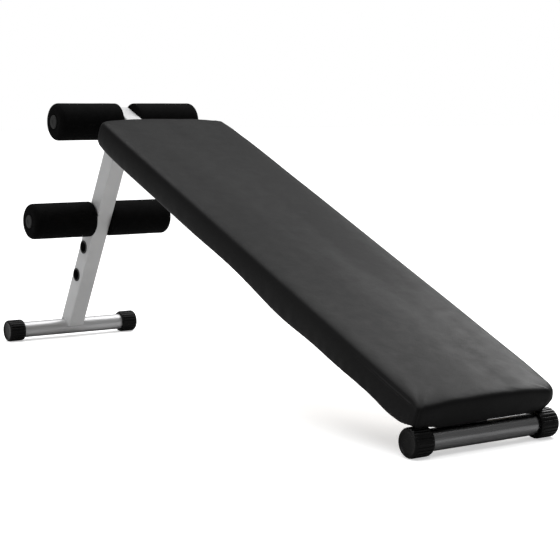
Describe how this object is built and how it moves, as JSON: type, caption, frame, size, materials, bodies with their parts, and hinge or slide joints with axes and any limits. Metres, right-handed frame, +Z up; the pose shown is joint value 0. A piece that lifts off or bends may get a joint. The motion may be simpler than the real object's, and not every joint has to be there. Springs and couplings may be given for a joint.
{
  "type": "decline sit up bench",
  "caption": "Decline sit up bench: long padded board on a sloping tube, leaning post that folds under it, foam rollers for the legs and round foot tubes with ribbed caps.",
  "frame": {"origin": "on the floor, midway between the axes of the two foot tubes and on the centre plane", "axes": "+X toward the low end of the pad, +Y across the bench, toward the pivot knob's side, +Z up"},
  "size_m": [1.592, 0.3666, 0.5798],
  "materials": {
    "frame_paint": "satin",
    "foot_tube_metal": "satin",
    "cap_plastic": "matte",
    "bush_plastic": "satin",
    "rod_steel": "gloss",
    "fastener_steel": "satin",
    "insert_brass": "satin",
    "knob_plastic": "satin",
    "board_wood": "matte",
    "pad_cover": "satin",
    "plug_plastic": "matte",
    "roller_foam": "matte"
  },
  "bodies": {
    "frame": {"main_tube": "frame_paint", "pivot_lug": "frame_paint", "head_plug": "cap_plastic", "front_foot_tube": "foot_tube_metal", "front_cap_left": "cap_plastic", "front_cap_right": "cap_plastic", "rear_pad_bracket": "frame_paint", "front_pad_bracket": "frame_paint", "pad_board": "board_wood", "pad_cushion": "pad_cover", "pad_tee_nuts": "fastener_steel", "pad_bolts": "fastener_steel", "pad_washers": "fastener_steel", "pad_staples": "fastener_steel", "upper_bush_left": "bush_plastic", "upper_bush_right": "bush_plastic", "pivot_sleeve": "fastener_steel"},
    "leg": {"rear_post": "frame_paint", "rear_foot_tube": "foot_tube_metal", "rear_cap_left": "cap_plastic", "rear_cap_right": "cap_plastic", "post_bushes": "bush_plastic", "pivot_bolt": "fastener_steel", "pivot_washers": "fastener_steel"},
    "knob": {"pivot_knob": "knob_plastic", "knob_insert": "insert_brass"},
    "upper_rod_set": {"upper_rod": "rod_steel", "upper_rod_plug_left": "plug_plastic", "upper_rod_plug_right": "plug_plastic"},
    "lower_rod_set": {"lower_rod": "rod_steel", "lower_rod_plug_left": "plug_plastic", "lower_rod_plug_right": "plug_plastic"},
    "roller_upper_left": {"upper_roller_left": "roller_foam"},
    "roller_upper_right": {"upper_roller_right": "roller_foam"},
    "roller_lower_left": {"lower_roller_left": "roller_foam"},
    "roller_lower_right": {"lower_roller_right": "roller_foam"}
  },
  "joints": [
    {"name": "post_fold", "type": "hinge", "parent": "frame", "child": "leg", "pos_m": [-0.51216, 0, 0.47988], "axis": [0, -1, 0], "range_deg": [0, 96]},
    {"name": "knob_turn", "type": "hinge", "parent": "leg", "child": "knob", "pos_m": [-0.51216, 0, 0.47988], "axis": [0, 1, 0], "range_deg": [0, 720]},
    {"name": "upper_rod_spin", "type": "hinge", "parent": "frame", "child": "upper_rod_set", "pos_m": [-0.47956, 0, 0.53726], "axis": [0, 1, 0], "continuous": true},
    {"name": "lower_rod_spin", "type": "hinge", "parent": "leg", "child": "lower_rod_set", "pos_m": [-0.61622, 0, 0.30379], "axis": [0, 1, 0], "continuous": true},
    {"name": "upper_left_roll", "type": "hinge", "parent": "upper_rod_set", "child": "roller_upper_left", "pos_m": [-0.47956, 0, 0.53726], "axis": [0, 1, 0], "continuous": true},
    {"name": "upper_right_roll", "type": "hinge", "parent": "upper_rod_set", "child": "roller_upper_right", "pos_m": [-0.47956, 0, 0.53726], "axis": [0, 1, 0], "continuous": true},
    {"name": "lower_left_roll", "type": "hinge", "parent": "lower_rod_set", "child": "roller_lower_left", "pos_m": [-0.61622, 0, 0.30379], "axis": [0, 1, 0], "continuous": true},
    {"name": "lower_right_roll", "type": "hinge", "parent": "lower_rod_set", "child": "roller_lower_right", "pos_m": [-0.61622, 0, 0.30379], "axis": [0, 1, 0], "continuous": true}
  ]
}
